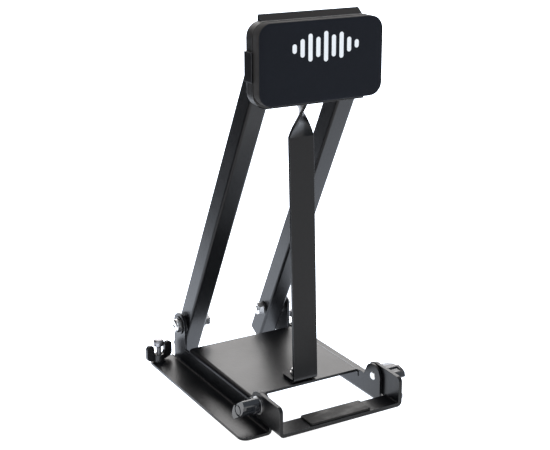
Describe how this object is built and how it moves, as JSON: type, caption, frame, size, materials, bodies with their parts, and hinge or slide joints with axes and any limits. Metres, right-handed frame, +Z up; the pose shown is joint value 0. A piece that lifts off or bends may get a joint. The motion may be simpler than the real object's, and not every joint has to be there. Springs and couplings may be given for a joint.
{
  "type": "kick drum practice pad",
  "caption": "Fold-flat kick drum practice pad: rubber strike pad on a propped black steel frame with a pedal bracket.",
  "frame": {"origin": "centre of the footprint at floor level", "axes": "+X the player's right, +Y away from the player, +Z up"},
  "size_m": [0.191, 0.237, 0.3715],
  "materials": {
    "black_steel": "semi-gloss powder coat",
    "zinc_steel": "bright zinc plate",
    "black_washer": "black oxide",
    "knob_plastic": "moulded gloss",
    "black_zinc": "black zinc plate",
    "board": "satin moulded board",
    "pad_rubber": "matt gum rubber",
    "strike_cloth": "fine woven coated cloth",
    "clamp_rubber": "smooth matt rubber"
  },
  "bodies": {
    "base": {"base_frame": "black_steel", "platform_weld_nut": "zinc_steel", "leg_pivot_bolts": "zinc_steel", "leg_pivot_washers": "black_washer", "leg_pivot_spacers": "black_washer", "leg_pivot_nuts": "zinc_steel"},
    "leg_frame": {"right_leg": "black_steel", "left_leg": "black_steel", "pad_plate": "black_steel", "backing_board": "board", "rubber_pad": "pad_rubber", "strike_face": "strike_cloth", "strut_bracket": "black_steel", "strut_bracket_rivets": "zinc_steel", "strut_pivot_bolt": "zinc_steel", "strut_pivot_nut": "zinc_steel"},
    "strut": {"support_strut": "black_steel", "strut_foot_screw": "zinc_steel", "strut_foot_washer": "zinc_steel"},
    "bracket": {"pedal_bracket": "black_steel", "pedal_clamp_pad": "clamp_rubber"},
    "left_washer": {"left_knob_washer": "zinc_steel"},
    "right_washer": {"right_knob_washer": "zinc_steel"},
    "left_grip": {"left_knob": "knob_plastic", "left_knob_stud": "zinc_steel"},
    "right_grip": {"right_knob": "knob_plastic", "right_knob_stud": "zinc_steel"},
    "left_spur": {"left_spur_bolt": "zinc_steel"},
    "right_spur": {"right_spur_bolt": "zinc_steel"},
    "left_wing_nut": {"left_spur_wing_nut": "black_zinc"},
    "right_wing_nut": {"right_spur_wing_nut": "black_zinc"}
  },
  "joints": [
    {"name": "leg_frame_lean", "type": "hinge", "parent": "base", "child": "leg_frame", "pos_m": [0, 0.092, 0.041], "axis": [1, 0, 0], "range_deg": [-53, 0]},
    {"name": "strut_swing", "type": "hinge", "parent": "leg_frame", "child": "strut", "pos_m": [0, -0.042, 0.306], "axis": [1, 0, 0], "range_deg": [0, 90]},
    {"name": "bracket_swing", "type": "hinge", "parent": "base", "child": "bracket", "pos_m": [0, -0.08, 0.025], "axis": [1, 0, 0], "range_deg": [-130, 12]},
    {"name": "left_knob_turn", "type": "hinge", "parent": "left_washer", "child": "left_grip", "pos_m": [-0.067, -0.08, 0.025], "axis": [-1, 0, 0], "range_deg": [0, 360]},
    {"name": "left_knob_travel", "type": "slide", "parent": "base", "child": "left_washer", "axis": [-1, 0, 0], "range_m": [0, 0.00125]},
    {"name": "right_knob_turn", "type": "hinge", "parent": "right_washer", "child": "right_grip", "pos_m": [0.067, -0.08, 0.025], "axis": [1, 0, 0], "range_deg": [0, 360]},
    {"name": "right_knob_travel", "type": "slide", "parent": "base", "child": "right_washer", "axis": [1, 0, 0], "range_m": [0, 0.00125]},
    {"name": "left_spur_travel", "type": "slide", "parent": "base", "child": "left_spur", "axis": [0, 0, 1], "range_m": [-0.006, 0.003]},
    {"name": "right_spur_travel", "type": "slide", "parent": "base", "child": "right_spur", "axis": [0, 0, 1], "range_m": [-0.006, 0.003]},
    {"name": "left_wing_nut_turn", "type": "hinge", "parent": "base", "child": "left_wing_nut", "pos_m": [-0.0805, 0.102, 0.006], "axis": [0, 0, 1], "range_deg": [0, 360]},
    {"name": "right_wing_nut_turn", "type": "hinge", "parent": "base", "child": "right_wing_nut", "pos_m": [0.0805, 0.102, 0.006], "axis": [0, 0, 1], "range_deg": [0, 360]}
  ],
  "couplings": [
    {"joint": "left_knob_turn", "follows": "left_knob_travel", "rad_per_m": 5026.5},
    {"joint": "right_knob_turn", "follows": "right_knob_travel", "rad_per_m": 5026.5}
  ]
}
